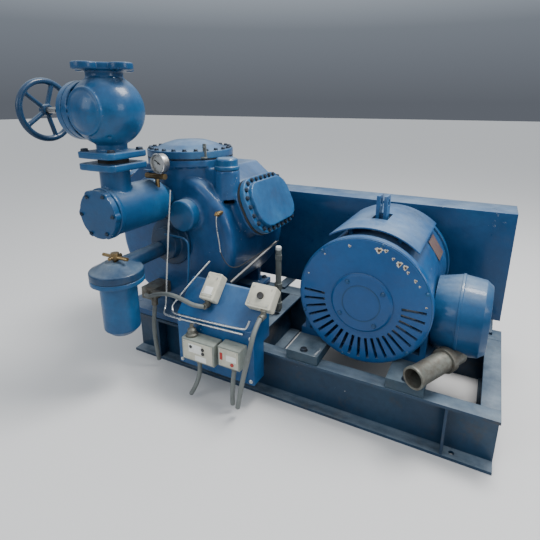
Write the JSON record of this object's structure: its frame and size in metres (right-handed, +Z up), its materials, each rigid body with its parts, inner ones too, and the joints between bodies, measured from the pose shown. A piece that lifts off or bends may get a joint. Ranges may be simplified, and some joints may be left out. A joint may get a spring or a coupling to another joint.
{
  "type": "belt driven reciprocating compressor unit",
  "caption": "Skid-mounted V-type reciprocating compressor with electric motor, V-belt drive in a guard, suction strainer, stop valve, oil filter and switch console.",
  "frame": {"origin": "centre of the skid's foundation bolt pattern, on its underside", "axes": "+X along the skid towards the motor end, +Y towards the belt guard, +Z up"},
  "size_m": [1.7643, 1.143, 1.265],
  "materials": {
    "dark_blue_paint": "worn satin paint",
    "blue_enamel": "semi-gloss enamel",
    "guard_paint": "satin paint",
    "bare_steel": "machined",
    "cast_iron": "as cast",
    "belt_rubber": "matt",
    "black_bolts": "oiled black",
    "old_brass": "tarnished",
    "gauge_face": "aged nickel",
    "black_plastic": "matt",
    "red_plastic": "gloss",
    "beige_box": "satin",
    "grey_box": "hammered grey",
    "tube_metal": "drawn tube",
    "grey_conduit": "matt PVC cover"
  },
  "bodies": {
    "skid": {"bearings": "bare_steel", "belt_guard": "guard_paint", "bolts": "black_bolts", "brass_fittings": "old_brass", "conduit_a": "grey_conduit", "conduit_b": "grey_conduit", "conduit_c": "grey_conduit", "conduit_d": "grey_conduit", "conduit_e": "grey_conduit", "conduit_fittings": "grey_box", "console": "blue_enamel", "crankcase": "blue_enamel", "cross_members": "dark_blue_paint", "cutout_switch": "beige_box", "cylinder_liners": "bare_steel", "drip_cover": "blue_enamel", "dual_pressure_switch": "grey_box", "filler_cap": "blue_enamel", "filter_bowl": "blue_enamel", "filter_head": "blue_enamel", "front_beam": "dark_blue_paint", "front_bell": "blue_enamel", "gaskets": "belt_rubber", "left_head": "blue_enamel", "motor_frame": "blue_enamel", "motor_rails": "dark_blue_paint", "oil_pressure_switch": "beige_box", "oil_pump_cover": "blue_enamel", "pipework": "tube_metal", "pressure_gauge": "gauge_face", "rear_beam": "dark_blue_paint", "rear_bell": "blue_enamel", "right_head": "blue_enamel", "shaft_seal_housing": "blue_enamel", "side_cover": "blue_enamel", "stator": "bare_steel", "strainer_body": "blue_enamel", "strainer_cover": "blue_enamel", "terminal_box": "blue_enamel", "terminal_cover": "blue_enamel", "time_delay_switch": "grey_box", "top_cover": "blue_enamel", "v_belts": "belt_rubber", "valve_body": "blue_enamel", "valve_bonnet": "blue_enamel"},
    "crank": {"crankshaft": "bare_steel", "flywheel": "cast_iron"},
    "motor_rotor": {"rotor": "bare_steel", "motor_sheave": "cast_iron"},
    "stem": {"valve_stem": "bare_steel"},
    "wheel": {"handwheel": "blue_enamel"},
    "filter_handle": {"filter_spindle": "old_brass"},
    "needle": {"gauge_needle": "black_plastic"},
    "valve_handle": {"needle_valve_handle": "blue_enamel"},
    "knob": {"switch_knob": "black_plastic"},
    "button": {"reset_button": "red_plastic"},
    "right_front_piston": {"right_front_piston": "cast_iron"},
    "right_rear_piston": {"right_rear_piston": "cast_iron"},
    "left_front_piston": {"left_front_piston": "cast_iron"},
    "left_rear_piston": {"left_rear_piston": "cast_iron"}
  },
  "joints": [
    {"name": "crank_spin", "type": "hinge", "parent": "skid", "child": "crank", "pos_m": [-0.5775, 0, 0.55], "axis": [0, 1, 0], "continuous": true},
    {"name": "motor_spin", "type": "hinge", "parent": "skid", "child": "motor_rotor", "pos_m": [0.284, 0, 0.45], "axis": [0, 1, 0], "continuous": true},
    {"name": "right_front_stroke", "type": "slide", "parent": "skid", "child": "right_front_piston", "axis": [0.9063, 0, 0.4226], "range_m": [-0.057, 0.057]},
    {"name": "right_rear_stroke", "type": "slide", "parent": "skid", "child": "right_rear_piston", "axis": [0.9063, 0, 0.4226], "range_m": [-0.057, 0.057]},
    {"name": "left_front_stroke", "type": "slide", "parent": "skid", "child": "left_front_piston", "axis": [-0.9063, 0, 0.4226], "range_m": [-0.057, 0.057]},
    {"name": "left_rear_stroke", "type": "slide", "parent": "skid", "child": "left_rear_piston", "axis": [-0.9063, 0, 0.4226], "range_m": [-0.057, 0.057]},
    {"name": "handwheel_turn", "type": "hinge", "parent": "stem", "child": "wheel", "pos_m": [-0.9375, -0.46, 1.108], "axis": [-1, 0, 0], "range_deg": [0, 2160]},
    {"name": "stem_lift", "type": "slide", "parent": "skid", "child": "stem", "axis": [-1, 0, 0], "range_m": [0, 0.036]},
    {"name": "filter_turn", "type": "hinge", "parent": "skid", "child": "filter_handle", "pos_m": [-0.6, -0.5, 0.5], "axis": [0, 0, 1], "continuous": true},
    {"name": "gauge_turn", "type": "hinge", "parent": "skid", "child": "needle", "pos_m": [-0.52, -0.3, 0.908], "axis": [-0.1045, -0.9945, 0], "range_deg": [-150, 120]},
    {"name": "needle_valve_turn", "type": "hinge", "parent": "skid", "child": "valve_handle", "pos_m": [-0.578, -0.3, 0.856], "axis": [0, 0, 1], "range_deg": [0, 720]},
    {"name": "knob_turn", "type": "hinge", "parent": "skid", "child": "knob", "pos_m": [-0.06, -0.32443, 0.45164], "axis": [0, -0.729, 0.6845], "range_deg": [0, 270]},
    {"name": "button_push", "type": "slide", "parent": "skid", "child": "button", "axis": [0, 1, 0], "range_m": [0, 0.004], "stiffness_N_per_m": 300}
  ],
  "couplings": [
    {"joint": "motor_spin", "follows": "crank_spin", "ratio": 1.5},
    {"joint": "stem_lift", "follows": "handwheel_turn", "m_per_rad": 0.00095493}
  ]
}
